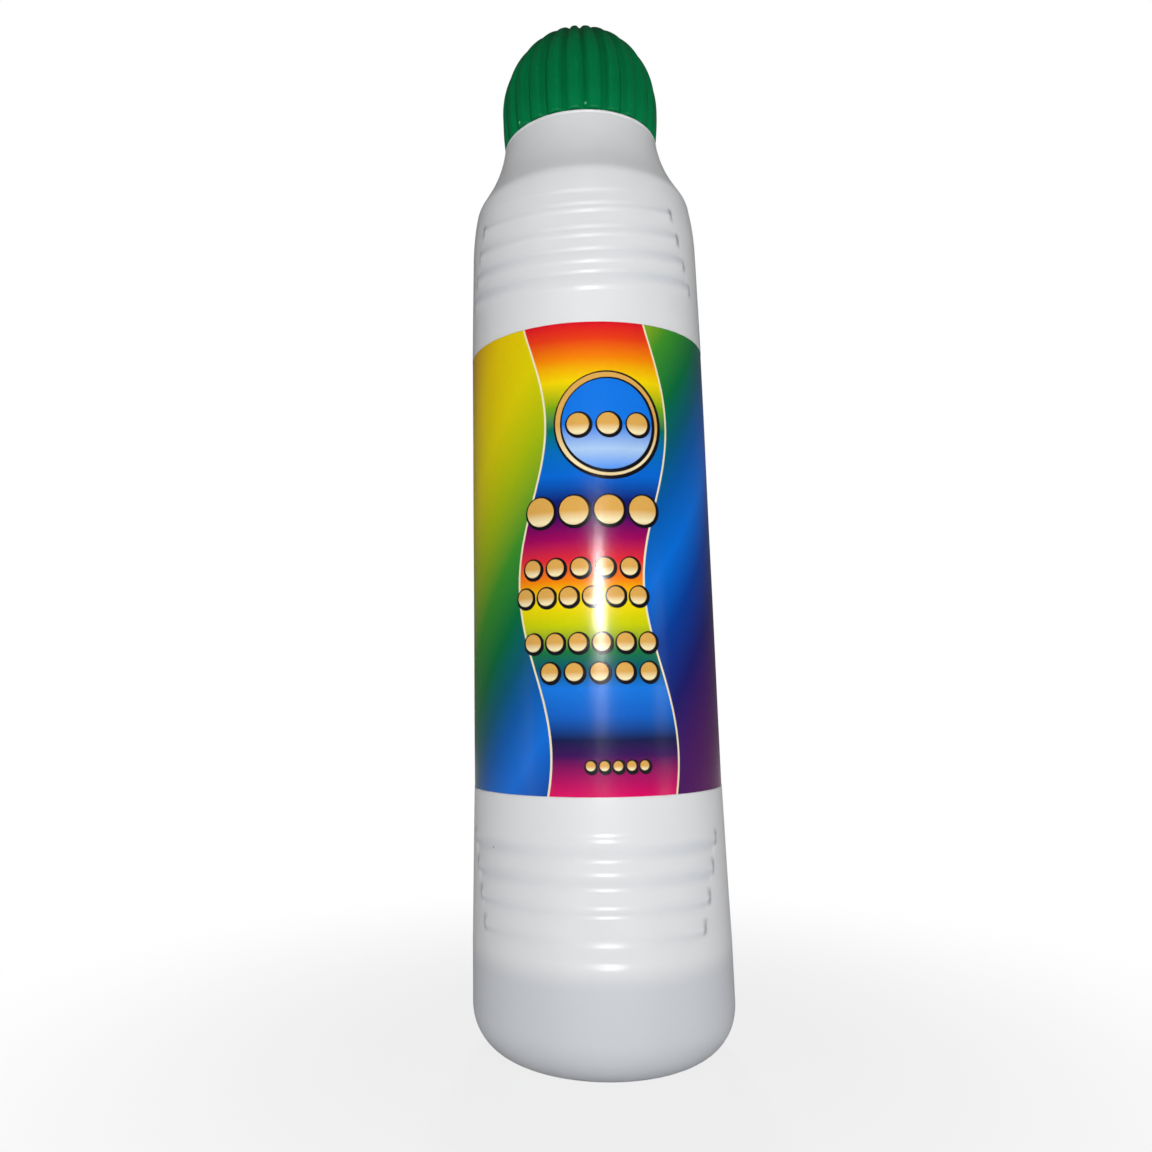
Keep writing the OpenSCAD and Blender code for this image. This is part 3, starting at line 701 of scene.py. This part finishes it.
def bump(nodes, shader, height, depth):
    """Bump of a real depth in metres."""
    normal = nodes.add("Bump", {"Height": height, "Distance": depth, "Strength": 1.0})
    nodes.feed(shader.inputs["Normal"], normal)


MOTTLE_SCALE, WEAR_SCALE, WEAR_REACH = 90.0, 900.0, 0.56
SPECK_SCALE, SPECK_SHARE, SPECK_SIZE = 95.0, 0.06, 0.028
GRAIN_FINE, GRAIN_BROAD = 0.6, 1.0


def moulded(name, colour, roughness, amount, grain_scale, grain_depth,
            worn=None, wear=0.0, spots=None, marks_and_shading=None, **constants):
    """Moulded plastic or rubber: mottled colour, grain, worn edges, stray specks, and marks and painted light
    and shade of its own.
    """
    material, n, shader, place = finish_of(name, constants)
    tint, rough = n.group(mottle, place, colour, MOTTLE_SCALE, amount, roughness)
    if worn:
        mask, = n.group(edge_wear, place, WEAR_SCALE, WEAR_REACH)
        tint = n.mix(n.sum("MULTIPLY", mask, wear), tint, worn)
    # The piece's own marks, and painted light and shade
    if marks_and_shading:
        tint = marks_and_shading(n, place, tint)
    if spots:
        mask, = n.group(specks, place, SPECK_SCALE, SPECK_SHARE, SPECK_SIZE)
        tint = n.mix(mask, tint, spots)
    n.feed(shader.inputs["Base Color"], tint)
    n.feed(shader.inputs["Roughness"], rough)
    height, = n.group(grain, place, grain_scale, GRAIN_FINE, GRAIN_BROAD)
    bump(n, shader, height, grain_depth)
    return material


def speck(n, place, tint, spot, size, colour):
    """A small round mark at an angle from the front, a radius and a height."""
    angle, radius, rise = math.radians(spot[0]), spot[1] * MM, spot[2] * MM
    away = n.add("VectorMath", {0: place, 1: (radius * math.sin(angle), -radius * math.cos(angle), rise)},
                 out=1, operation="DISTANCE")
    return n.mix(n.fade(away, size * MM, 2 * size * MM), tint, colour)


# Painted shade in the bottle's grip rings and at their ends, and a greyer foot: where each fades, in
# millimetres or degrees, and its shares
FOOT_FADE = (BAND_H - 2.5, BAND_H + 1.0)
GROOVE_SHADE_FADE, GROOVE_SHADE_END_FADE, GROOVE_SHADE_SIDE_FADE = (0.2, 1.4), (-4.0, 0.0), (12.0, 50.0)
GROOVE_SHADE_SHARES, LAST_GROOVE_SHADE_SHARE = (0.3, 0.9), 0.4
END_SHADE_SIDE_FADE, END_SHADE_RISE_FADE = (0.2, 2.6), (0.3, 1.4)
END_SHADE_SCALE, END_SHADE_PATCH, END_SHADE_SHARES = 700.0, (0.3, 0.6), (0.3, 0.85)
FOOT_GREY, GROOVE_SHADE_GREY, END_SHADE_GREY = linear(215, 218, 223), linear(222, 225, 230), linear(150, 156, 167)
# Dark speck on the bottle: angle from the front, radius and height
DARK_SPECK, DARK_SPECK_R, DARK_GREY = (-47.3, BODY_R + 0.1, 27.56), 0.1, linear(92, 94, 100)


def bottle_shade_and_marks(n, place, tint):
    """A greyer foot, painted shade in the grip rings and at their ends, and a speck."""
    in_mm = n.add("VectorMath", {0: place, 1: (1 / MM,) * 3}, operation="MULTIPLY")
    x, y, up = n.add("SeparateXYZ", {"Vector": in_mm}).node.outputs
    # Greyer towards the foot, below the edge of the base band
    tint = n.mix(n.spread(up, *FOOT_FADE), FOOT_GREY, tint)
    under = n.sum("SUBTRACT", LABEL_Z, up)
    past_label = n.sum("MAXIMUM", under, n.sum("SUBTRACT", up, LABEL_TOP + RING_SAG))
    swing = n.sum("ARCTAN2", n.sum("ABSOLUTE", x), n.sum("ABSOLUTE", y))
    off = n.sum("DEGREES", swing)

    def nearest_ring(past, first):
        """Order of the nearest ring, the angle past its end and the distance from its middle."""
        beyond = n.sum("SUBTRACT", past, first)
        ring = n.sum("ROUND", n.sum("DIVIDE", beyond, GROOVE_PITCH))
        ring = n.sum("MAXIMUM", n.sum("MINIMUM", ring, GROOVES - 1.0), 0.0)
        end = n.sum("SUBTRACT", GROOVE_HALF_ANGLE, n.sum("MULTIPLY", ring, GROOVE_SHORTER))
        apart = n.sum("ABSOLUTE", n.sum("SUBTRACT", beyond, n.sum("MULTIPLY", ring, GROOVE_PITCH)))
        return ring, n.sum("SUBTRACT", off, end), apart

    full_sag = RING_SAG / math.sin(math.radians(GROOVE_HALF_ANGLE)) ** 2
    bent = n.sum("MULTIPLY", n.sum("POWER", n.sum("SINE", swing), 2.0), full_sag)
    over = n.sum("SUBTRACT", n.sum("SUBTRACT", up, LABEL_TOP), bent)
    ring, past_end, apart = nearest_ring(n.sum("MAXIMUM", under, over), GROOVE_SETBACK - RING_FALL_BACK)
    # Painted shade in the grooves of the grip rings, stronger on the panels' flanks
    groove_shade = n.sum("MULTIPLY", n.fade(apart, *GROOVE_SHADE_FADE), n.fade(past_end, *GROOVE_SHADE_END_FADE))
    groove_shade = n.sum("MULTIPLY", groove_shade, n.spread(ring, 0.5, GROOVES - 1.0, 1.0, LAST_GROOVE_SHADE_SHARE))
    groove_shade = n.sum("MULTIPLY", groove_shade, n.spread(off, *GROOVE_SHADE_SIDE_FADE, *GROOVE_SHADE_SHARES))
    tint = n.mix(groove_shade, tint, GROOVE_SHADE_GREY)
    # Painted shade at the ends of the grip rings, in patches
    _, past_end, apart = nearest_ring(past_label, GROOVE_SETBACK - RING_END_BACK)
    aside = n.sum("ABSOLUTE", past_end)
    end_shade = n.sum("MULTIPLY", n.fade(aside, *END_SHADE_SIDE_FADE), n.fade(apart, *END_SHADE_RISE_FADE))
    patchy = n.spread(n.noise(place, END_SHADE_SCALE), *END_SHADE_PATCH, *END_SHADE_SHARES)
    tint = n.mix(n.sum("MULTIPLY", end_shade, patchy), tint, END_SHADE_GREY)
    return speck(n, place, tint, DARK_SPECK, DARK_SPECK_R, DARK_GREY)


# Cap: painted light low on the skirt and painted shade on the crown: how high the skirt's light reaches, how
# far down the crown's shade does, and the share of each
LIT_SKIRT_H, SKIRT_LIGHT_SHARE, SKIRT_LIGHT_GREEN = 5, 0.7, linear(0, 126, 71)
SHADED_CROWN_H, CROWN_SHADE_SHARE, CROWN_SHADE_GREEN = 9, 0.8, linear(0, 82, 47)
# Pale specks on the cap: angle from the front, depth under the belly and height over the edge
PALE_SPECKS, PALE_SPECK_R, PALE_GREEN = ((10.0, 0.95, 1.0), (-44.5, 0.3, 0.7)), 0.14, linear(120, 214, 160)


def cap_shading_and_specks(n, place, tint):
    """Painted shade on the crown, painted light on the skirt, and two pale specks."""
    up = n.add("SeparateXYZ", {"Vector": place}, out=2)
    # Painted light low on the skirt and painted shade on the crown
    skirt = n.spread(up, CAP_EDGE_Z * MM, (CAP_EDGE_Z + LIT_SKIRT_H) * MM, SKIRT_LIGHT_SHARE, 0.0)
    crown_shade = n.spread(up, (CAP_TOP - SHADED_CROWN_H) * MM, CAP_TOP * MM, 0.0, CROWN_SHADE_SHARE)
    tint = n.mix(crown_shade, n.mix(skirt, tint, SKIRT_LIGHT_GREEN), CROWN_SHADE_GREEN)
    for angle, sunk, rise in PALE_SPECKS:
        spot = (angle, CAP_BELLY_R - sunk, CAP_EDGE_Z + rise)
        tint = speck(n, place, tint, spot, PALE_SPECK_R, PALE_GREEN)
    return tint


FILM_MOTTLE_SCALE, FILM_MOTTLE, FILM_ROUGHNESS = 1400.0, 0.1, 0.2
FILM_GRAIN_SCALE, FILM_FINE, FILM_BROAD, FILM_GRAIN_DEPTH = 7000.0, 1.0, 1.2, 0.000006


def label_print():
    """Glossy film with a spectrum: slanting fields, a waving ribbon and rows of round dabs."""
    material, n, shader, place = finish_of("label_film", {"Specular IOR Level": 0.7})
    turned_place = n.add("VectorRotate", {"Vector": place, "Angle": math.radians(-LABEL_TURN)},
                         rotation_type="Z_AXIS")
    xyz = n.add("SeparateXYZ", {"Vector": turned_place}).node.outputs
    angle = n.sum("ARCTAN2", xyz["X"], n.sum("MULTIPLY", xyz["Y"], -1.0))
    across = n.sum("MULTIPLY", angle, BODY_R)
    up = n.sum("SUBTRACT", n.sum("MULTIPLY", xyz["Z"], 1 / MM), LABEL_Z)

    slant_low, slant_high, slant_rise = -72.0, 135.0, 1.3
    slant = n.spread(n.sum("SUBTRACT", up, n.sum("MULTIPLY", across, slant_rise)), slant_low, slant_high)
    slant.node.interpolation_type = "LINEAR"
    fields = [
        (-72, (225, 25, 55)), (-50, (190, 10, 95)), (-24, (95, 8, 90)), (-11, (70, 12, 98)),
        (-2, (26, 24, 108)), (8, (0, 62, 158)), (17, (0, 112, 222)), (25, (0, 92, 176)),
        (31, (0, 92, 118)), (38, (0, 112, 60)), (47, (60, 148, 42)), (57, (168, 190, 10)),
        (68, (230, 214, 0)), (80, (240, 206, 0)), (94, (226, 166, 8)), (112, (236, 104, 18)),
        (135, (222, 26, 40))]
    field = n.ramp(slant, [((t - slant_low) / (slant_high - slant_low), c) for t, c in fields])

    tall = LABEL_TOP - LABEL_Z
    ribbon_w, ribbon_rate, ribbon_start = 2.2, 2 * math.pi / 44, 6.0
    wave = n.sum("SINE", n.sum("MULTIPLY", n.sum("ADD", up, ribbon_start), ribbon_rate))
    aside = n.sum("SUBTRACT", across, n.sum("MULTIPLY", wave, ribbon_w))
    bands = [
        (0, (228, 0, 100)), (2.6, (165, 0, 95)), (5, (60, 4, 90)), (7, (10, 22, 76)),
        (10, (12, 98, 200)), (13.5, (20, 122, 228)), (16, (0, 88, 110)), (18.4, (26, 122, 58)),
        (21.6, (205, 212, 0)), (24.6, (252, 224, 0)), (27.5, (250, 132, 8)), (30, (232, 44, 52)),
        (33, (160, 0, 92)), (36, (52, 4, 96)), (38, (10, 26, 110)), (41.5, (0, 104, 214)),
        (45, (0, 110, 190)), (48, (0, 116, 90)), (51, (122, 172, 20)), (54.6, (250, 218, 0)),
        (58, (250, 132, 0)), (60.6, (238, 62, 20)), (63, (226, 14, 36))]
    ribbon = n.ramp(n.sum("DIVIDE", up, tall), [(u / tall, c) for u, c in bands])
    out = n.sum("ABSOLUTE", aside)
    half_w, rim_w = 8.5, 0.28
    rim = n.fade(out, half_w + rim_w - PRINT_SOFT, half_w + rim_w + PRINT_SOFT)
    colour = n.mix(rim, field, linear(250, 238, 196))
    colour = n.mix(n.fade(out, half_w - PRINT_SOFT, half_w + PRINT_SOFT), colour, ribbon)

    def dabs(colour, middle, count, radius, pitch, fill):
        row_aside = n.sum("SUBTRACT", across, ribbon_w * math.sin(ribbon_rate * (middle + ribbon_start)))
        inside, outline, high = n.group(dab_row, row_aside, up, middle, pitch, count, radius)
        colour = n.mix(outline, colour, linear(14, 12, 20))
        return n.mix(inside, colour, n.ramp(n.sum("ADD", n.sum("MULTIPLY", high, 0.5), 1.0), fill))

    # Fills of the dabs: 0.5 is their foot and 1 their middle, and the last colour goes on to the top
    gold = [(0.3, (222, 160, 78)), (0.62, (253, 238, 190)), (1.0, (226, 172, 84))]
    blue = [(0.45, (0, 132, 244)), (0.72, (176, 208, 246)), (1.0, (16, 120, 232))]
    # Rows of dabs: middle height, count, radius, pitch and fill
    rows = [(48.6, 1.0, 7.2, 20.0, gold), (48.6, 1.0, 6.3, 20.0, blue), (48.6, 3.0, 1.5, 4.1, gold),
            (36.8, 4.0, 1.95, 4.7, gold), (29.2, 5.0, 1.15, 3.3, gold), (25.4, 6.0, 1.15, 3.1, gold),
            (19.4, 6.0, 1.15, 3.1, gold), (15.6, 5.0, 1.15, 3.3, gold), (3.8, 5.0, 0.6, 1.75, gold)]
    for row in rows:
        colour = dabs(colour, *row)

    tint, rough = n.group(mottle, place, colour, FILM_MOTTLE_SCALE, FILM_MOTTLE, FILM_ROUGHNESS)
    n.feed(shader.inputs["Base Color"], tint)
    n.feed(shader.inputs["Roughness"], rough)
    height, = n.group(grain, place, FILM_GRAIN_SCALE, FILM_FINE, FILM_BROAD)
    bump(n, shader, height, FILM_GRAIN_DEPTH)
    return material


def soaked(name, dry, wet, stitch):
    """Soft ink-soaked cloth or foam, with stitches or pores of a real size in metres."""
    material, n, shader, place = finish_of(name, {"Roughness": 0.8, "Specular IOR Level": 0.25})
    blot_scale, blot_from, blot_to = 260.0, 0.35, 0.66
    stitch_depth, pore_scale, pore_depth = 0.0001, 2200.0, 0.00012
    blot = n.spread(n.noise(place, blot_scale, 5.0, 0.6), blot_from, blot_to)
    n.feed(shader.inputs["Base Color"], n.mix(blot, dry, wet))
    if stitch:
        xyz = n.add("SeparateXYZ", {"Vector": place}).node.outputs
        rise = 2 * math.pi / stitch

        def wave(value):
            return n.sum("SINE", n.sum("MULTIPLY", value, rise))

        bump(n, shader, n.sum("MULTIPLY", wave(xyz["X"]), wave(xyz["Y"])), stitch_depth)
    else:
        pores = n.add("TexVoronoi", {"Vector": place, "Scale": pore_scale})
        bump(n, shader, pores, pore_depth)
    return material


def wire_steel():
    material, n, shader, place = finish_of("spring_steel", {"Metallic": 1.0})
    drawn = n.noise(place, 3000.0, 3.0)
    tint = n.ramp(drawn, [(0.3, (150, 150, 148)), (0.75, (205, 205, 200))])
    n.feed(shader.inputs["Base Color"], tint)
    n.feed(shader.inputs["Roughness"], n.spread(drawn, 0.2, 0.8, 0.25, 0.45))
    bump(n, shader, drawn, 0.00001)
    return material


FINISHES = {
    "bottle_plastic": moulded(
        "bottle_plastic", linear(236, 237, 238), roughness=0.32, amount=0.05, grain_scale=1700.0,
        grain_depth=0.000012, worn=linear(205, 208, 212), wear=0.2, spots=linear(96, 96, 100),
        marks_and_shading=bottle_shade_and_marks, **{"Specular IOR Level": 1.0, "Subsurface Weight": 0.1,
                               "Subsurface Scale": 0.0012, "Subsurface Radius": (1.0, 1.0, 1.0)}),
    "label_film": label_print(),
    "cap_plastic": moulded(
        "cap_plastic", linear(0, 112, 62), roughness=0.42, amount=0.12, grain_scale=2600.0,
        grain_depth=0.00001, worn=linear(20, 146, 88), wear=0.5, spots=linear(60, 190, 120),
        marks_and_shading=cap_shading_and_specks, **{"Specular IOR Level": 0.25}),
    "seal_foam": moulded(
        "seal_foam", linear(228, 228, 220), roughness=0.75, amount=0.08, grain_scale=5200.0,
        grain_depth=0.00003),
    "tip_plastic": moulded(
        "tip_plastic", linear(226, 229, 226), roughness=0.42, amount=0.05, grain_scale=2600.0,
        grain_depth=0.000008, worn=linear(150, 190, 165), wear=0.5),
    "cover_knit": soaked("cover_knit", linear(40, 150, 88), linear(0, 84, 42), stitch=0.00045),
    "sponge_foam": soaked("sponge_foam", linear(80, 170, 110), linear(8, 100, 54), stitch=None),
    "washer_rubber": moulded(
        "washer_rubber", linear(34, 34, 36), roughness=0.6, amount=0.2, grain_scale=4000.0,
        grain_depth=0.00002),
    "spring_steel": wire_steel(),
    "ink": moulded(
        "ink", linear(0, 92, 44), roughness=0.12, amount=0.1, grain_scale=400.0, grain_depth=0.00001),
}

slots = {part["node"]: part["material_slot"] for part in frame["record"]["subparts"]}
for node, slot in slots.items():
    solid = frame["nodes"][node]
    solid.data.materials.clear()
    solid.data.materials.append(FINISHES[slot])

for piece, body, node in (
        (bottle, "bottle", "bottle"), (label, "bottle", "label"), (cap, "cap", "cap"),
        (seal_ring, "seal", "cap_seal_ring"), (clamp_ring, "bottle", "clamp_ring"),
        (cover, "tip", "sponge_cover"), (sponge, "tip", "sponge"), (spring, "bottle", "return_spring")):
    piece.data.materials.append(FINISHES[slots[node]])
    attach(piece, body)
    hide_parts(node)

# Sponge and cover go down with the plunger. The spring keeps its seat. Each gets a mesh of its own
for piece in (cover, sponge):
    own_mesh(piece)
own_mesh(spring)


# Floor, light and camera

def white_seen(nodes, mirrored):
    """1 for what the camera sees straight, mirrored for what it sees in gloss, and 0 for falling light."""
    ray = nodes.tree.nodes.new("ShaderNodeLightPath").outputs
    gloss = nodes.sum("MAXIMUM", ray["Is Glossy Ray"], ray["Is Transmission Ray"])
    return nodes.sum("MAXIMUM", ray["Is Camera Ray"], nodes.sum("MULTIPLY", gloss, mirrored))


def make_floor():
    size, near_r, far_r, near_white = 6.0, 0.02, 0.11, 0.82
    grey, mirrored = (0.42, 0.42, 0.43, 1), 0.1
    mesh = bpy.data.meshes.new("floor")
    corners = [(-size, -size, 0), (size, -size, 0), (size, size, 0), (-size, size, 0)]
    mesh.from_pydata(corners, [], [(0, 1, 2, 3)])
    floor = bpy.data.objects.new("floor", mesh)
    bpy.context.scene.collection.objects.link(floor)
    material = bpy.data.materials.new("pale_floor")
    material.use_nodes = True
    n = Nodes(material.node_tree)
    material.node_tree.nodes.remove(material.node_tree.nodes["Principled BSDF"])
    place = n.add("TexCoord", out=3)
    far = n.spread(n.add("VectorMath", {0: place}, out=1, operation="LENGTH"), near_r, far_r, near_white, 1.0)
    lit = n.add("BsdfDiffuse", {"Color": grey})
    glow = n.add("Emission", {"Color": (1, 1, 1, 1), "Strength": 1.0})
    surface = n.add("MixShader", {0: n.sum("MULTIPLY", far, white_seen(n, mirrored)), 1: lit, 2: glow})
    n.feed(material.node_tree.nodes["Material Output"].inputs["Surface"], surface)
    mesh.materials.append(material)


def make_world():
    """White where the camera looks, dim all round, and dark in reflections on the camera's side."""
    fill_colour, fill_strength, back_mirrored = (0.97, 0.985, 1.0, 1), 0.05, 0.04
    world = bpy.data.worlds.new("studio")
    bpy.context.scene.world = world
    world.use_nodes = True
    n = Nodes(world.node_tree)
    for node in list(world.node_tree.nodes):
        if node.type == "BACKGROUND":
            world.node_tree.nodes.remove(node)
    direction = n.add("SeparateXYZ", {"Vector": n.add("TexCoord", out=0)}).node.outputs
    behind = n.spread(direction["Y"], 0.1, 1.0, 0.0, back_mirrored)
    fill = n.add("Background", {"Color": fill_colour, "Strength": fill_strength})
    white = n.add("Background", {"Color": (1, 1, 1, 1), "Strength": 1.0})
    surface = n.add("MixShader", {0: white_seen(n, behind), 1: fill, 2: white})
    n.feed(world.node_tree.nodes["World Output"].inputs["Surface"], surface)


# Camera, as fitted to the photograph: low, to the right of the grip panels' middle, and looking up
CAMERA_SIDE, CAMERA_BACK, CAMERA_UP = 5.0, 142.6, 48.5
CAMERA_YAW, CAMERA_PITCH, CAMERA_ROLL = -4.473, 10.074, -0.729
PICTURE, FOCAL, MIDDLE_X, MIDDLE_Y = 1152, 957.9, 516, 516
SENSOR = 36.0


def make_camera():
    yaw, pitch, roll, side = (math.radians(a) for a in (CAMERA_YAW, CAMERA_PITCH, CAMERA_ROLL, CAMERA_SIDE))
    ahead = Vector((math.sin(yaw) * math.cos(pitch), math.cos(yaw) * math.cos(pitch), math.sin(pitch)))
    right = Vector((math.cos(yaw), -math.sin(yaw), 0))
    upward = right.cross(ahead)
    right, upward = (math.cos(roll) * right + math.sin(roll) * upward,
                     math.cos(roll) * upward - math.sin(roll) * right)
    place = Vector((0, -CAMERA_BACK * MM, CAMERA_UP * MM))
    seat = Matrix((right, upward, -ahead)).transposed().to_4x4()
    seat.translation = place
    data = bpy.data.cameras.new("camera")
    data.sensor_width = SENSOR
    data.lens = FOCAL / PICTURE * SENSOR
    data.shift_x = (PICTURE / 2 - MIDDLE_X) / PICTURE
    data.shift_y = (MIDDLE_Y - PICTURE / 2) / PICTURE
    data.clip_start, data.clip_end = 0.005, 50
    camera = bpy.data.objects.new("camera", data)
    bpy.context.scene.collection.objects.link(camera)
    camera.matrix_world = Matrix.Rotation(side, 4, "Z") @ seat
    bpy.context.scene.camera = camera
    return camera


def make_lamp(name, place, target, size, power, mirrored=True):
    data = bpy.data.lights.new(name, "AREA")
    data.shape, data.size, data.energy = "DISK", size, power
    lamp = bpy.data.objects.new(name, data)
    bpy.context.scene.collection.objects.link(lamp)
    lamp.location = place
    lamp.rotation_euler = (Vector(target) - Vector(place)).to_track_quat("-Z", "Y").to_euler()
    lamp.visible_glossy = mirrored


make_floor()
make_world()
camera = make_camera()
view_right, view_up = (camera.matrix_world.to_3x3().col[i] for i in (0, 1))
lit_middle = Vector((0, 0, 0.075))
flash_right, flash_up, flash_size, flash_power = 0.016, 0.024, 0.012, 0.05
flash_place = camera.location + flash_right * view_right + flash_up * view_up
make_lamp("flash", flash_place, lit_middle, flash_size, flash_power)
# Panels: degrees to the right of the camera, height and power
panel_distance, panel_size = 0.5, 0.1
for name, side, rise, power in (("front_panel", 4.0, 0.055, 0.98), ("left_panel", -62.0, 0.055, 0.6),
                                ("right_panel", 62.0, 0.055, 0.6), ("back_panel", 180.0, 0.35, 1.4)):
    turn = math.radians(CAMERA_SIDE + side)
    panel_place = Vector((panel_distance * math.sin(turn), -panel_distance * math.cos(turn), rise))
    make_lamp(name, panel_place, lit_middle, panel_size, power, mirrored=False)

bpy.context.scene.view_settings.view_transform = "Standard"
